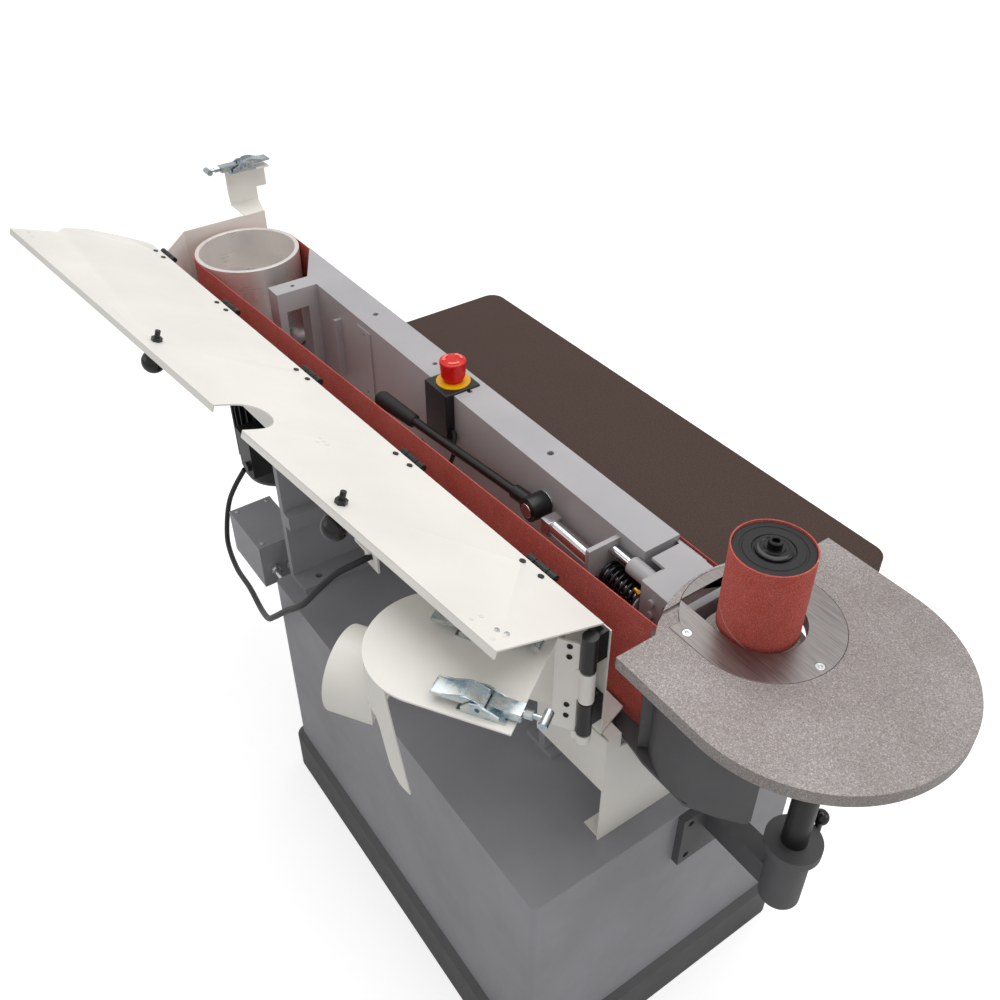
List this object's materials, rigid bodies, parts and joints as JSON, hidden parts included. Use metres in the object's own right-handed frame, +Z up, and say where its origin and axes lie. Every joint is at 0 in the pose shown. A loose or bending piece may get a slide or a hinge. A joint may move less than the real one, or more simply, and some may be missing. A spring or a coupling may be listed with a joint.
{
  "type": "belt and bobbin sander",
  "caption": "Floor-standing edge sander: horizontal abrasive belt over two drums, bobbin in a round-ended table, side table, hinged dust hood and cover with hose port, on a steel cabinet.",
  "frame": {"origin": "centre of the anchor bolt pattern on the floor", "axes": "+Z up, -X towards the bobbin, +X towards the drive drum, -Y towards the operator"},
  "size_m": [1.4062, 0.6214, 0.853],
  "materials": {
    "frame_grey": "satin paint",
    "head_paint": "satin paint",
    "plinth_black": "satin paint",
    "hood_cream": "gloss paint",
    "black_paint": "satin paint",
    "table_brown": "wrinkle paint",
    "table_speckle": "speckled hammer paint",
    "steel": "brushed",
    "drum_metal": "turned",
    "chrome": "polished",
    "zinc": "blue zinc plate",
    "cast_dark": "painted casting",
    "abrasive": "abrasive grit on cloth",
    "black_plastic": "moulded",
    "black_gloss": "polished",
    "red_plastic": "moulded",
    "yellow_plastic": "moulded",
    "green_plastic": "moulded",
    "rubber_black": "matt",
    "brass": "machined",
    "graphite": "graphite cloth"
  },
  "bodies": {
    "frame": {"cabinet": "frame_grey", "plinth": "plinth_black", "head_girder": "head_paint", "inner_plates": "head_paint", "head_pins": "chrome", "platen": "steel", "platen_pad": "graphite", "motor_plate": "frame_grey", "motor_body": "black_paint", "fan_cowl": "black_paint", "stands": "frame_grey", "junction_box": "frame_grey", "stand_off_bolts": "chrome", "conduit": "rubber_black", "estop_box": "black_plastic", "estop_ring": "yellow_plastic", "estop_cable": "rubber_black", "tension_spring": "black_paint", "sanding_belt": "abrasive", "table_sockets": "cast_dark", "idler_guard": "cast_dark", "hood_shell": "hood_cream", "hood_leg": "hood_cream", "hood_hinges": "black_paint", "drum_latch_base": "zinc", "start_switch": "black_plastic"},
    "drum": {"motor_shaft": "steel", "drive_drum": "drum_metal"},
    "carriage": {"idler_carriage": "cast_dark", "carriage_plates": "steel", "tension_rod": "chrome", "grease_nipple": "brass"},
    "idler": {"idler_drum": "drum_metal", "spindle": "steel", "bobbin_core": "rubber_black", "bobbin_sleeve": "abrasive", "bobbin_washer": "black_gloss"},
    "lever": {"lever_hub": "black_paint", "lever_grip": "rubber_black"},
    "flap": {"hood_flap": "hood_cream", "flap_leaves": "black_paint"},
    "knob_a": {"flap_knob_a": "black_gloss"},
    "knob_b": {"flap_knob_b": "black_gloss"},
    "cover": {"end_cover": "hood_cream", "latch_bases": "zinc"},
    "latch_a": {"latch_handle_a": "zinc"},
    "latch_b": {"latch_handle_b": "zinc"},
    "drum_latch": {"drum_latch_handle": "zinc"},
    "estop": {"estop_button": "red_plastic"},
    "start": {"start_button": "green_plastic"},
    "stop": {"stop_button": "red_plastic"},
    "main_table_body": {"main_table": "table_brown", "table_posts": "steel"},
    "end_table_body": {"end_table": "table_speckle", "table_insert": "steel", "insert_screws": "chrome", "table_column": "black_paint"},
    "lock_a": {"post_lock_a": "black_gloss"},
    "lock_b": {"post_lock_b": "black_gloss"},
    "lock_c": {"column_lock": "black_gloss"}
  },
  "joints": [
    {"name": "drum_spin", "type": "hinge", "parent": "frame", "child": "drum", "pos_m": [0.698, 0.03, 0.66], "axis": [0, 0, 1], "continuous": true},
    {"name": "carriage_slide", "type": "slide", "parent": "frame", "child": "carriage", "axis": [1, 0, 0], "range_m": [0, 0.007], "deforming": ["tension_spring"]},
    {"name": "idler_spin", "type": "hinge", "parent": "carriage", "child": "idler", "pos_m": [-0.354, 0, 0.66], "axis": [0, 0, 1], "continuous": true},
    {"name": "lever_swing", "type": "hinge", "parent": "frame", "child": "lever", "pos_m": [-0.038, 0.014, 0.685], "axis": [0, 1, 0], "range_deg": [-85, 0]},
    {"name": "flap_swing", "type": "hinge", "parent": "frame", "child": "flap", "pos_m": [-0.229, 0.104, 0.74], "axis": [0.9989, 0.0475, 0], "range_deg": [0, 160]},
    {"name": "knob_a_turn", "type": "hinge", "parent": "flap", "child": "knob_a", "pos_m": [-0.02353, 0.24641, 0.78822], "axis": [0.0162, -0.3416, 0.9397], "continuous": true},
    {"name": "knob_b_turn", "type": "hinge", "parent": "flap", "child": "knob_b", "pos_m": [0.37717, 0.28332, 0.79472], "axis": [0.0162, -0.3416, 0.9397], "continuous": true},
    {"name": "cover_swing", "type": "hinge", "parent": "frame", "child": "cover", "pos_m": [-0.27, 0.126, 0.66], "axis": [0, 0, 1], "range_deg": [0, 135]},
    {"name": "latch_a_lift", "type": "hinge", "parent": "cover", "child": "latch_a", "pos_m": [-0.27104, 0.24695, 0.735], "axis": [-0.5446, 0.8387, 0], "range_deg": [-100, 0]},
    {"name": "latch_b_lift", "type": "hinge", "parent": "cover", "child": "latch_b", "pos_m": [-0.19728, 0.19946, 0.735], "axis": [-0.5446, 0.8387, 0], "range_deg": [-35, 0]},
    {"name": "drum_latch_lift", "type": "hinge", "parent": "frame", "child": "drum_latch", "pos_m": [0.838, -0.036, 0.803], "axis": [-1, 0, 0], "range_deg": [0, 100]},
    {"name": "estop_press", "type": "slide", "parent": "frame", "child": "estop", "axis": [0, 0, -1], "range_m": [0, 0.006], "stiffness_N_per_m": 1500},
    {"name": "start_press", "type": "slide", "parent": "frame", "child": "start", "axis": [0, 1, 0], "range_m": [0, 0.005], "stiffness_N_per_m": 600},
    {"name": "stop_press", "type": "slide", "parent": "frame", "child": "stop", "axis": [0, 1, 0], "range_m": [0, 0.005], "stiffness_N_per_m": 600},
    {"name": "main_table_lift", "type": "slide", "parent": "frame", "child": "main_table_body", "axis": [0, 0, 1], "range_m": [-0.06, 0.03]},
    {"name": "end_table_lift", "type": "slide", "parent": "frame", "child": "end_table_body", "axis": [0, 0, 1], "range_m": [0, 0.06]},
    {"name": "post_lock_a_turn", "type": "hinge", "parent": "frame", "child": "lock_a", "pos_m": [-0.154, -0.184, 0.475], "axis": [0, -1, 0], "range_deg": [-90, 90]},
    {"name": "post_lock_b_turn", "type": "hinge", "parent": "frame", "child": "lock_b", "pos_m": [0.206, -0.184, 0.475], "axis": [0, -1, 0], "range_deg": [-90, 90]},
    {"name": "column_lock_turn", "type": "hinge", "parent": "frame", "child": "lock_c", "pos_m": [-0.424, -0.079, 0.42], "axis": [0, -1, 0], "range_deg": [-90, 90]}
  ],
  "couplings": [
    {"joint": "idler_spin", "follows": "drum_spin", "ratio": 1.5882},
    {"joint": "carriage_slide", "follows": "lever_swing", "m_per_rad": -0.0047}
  ]
}
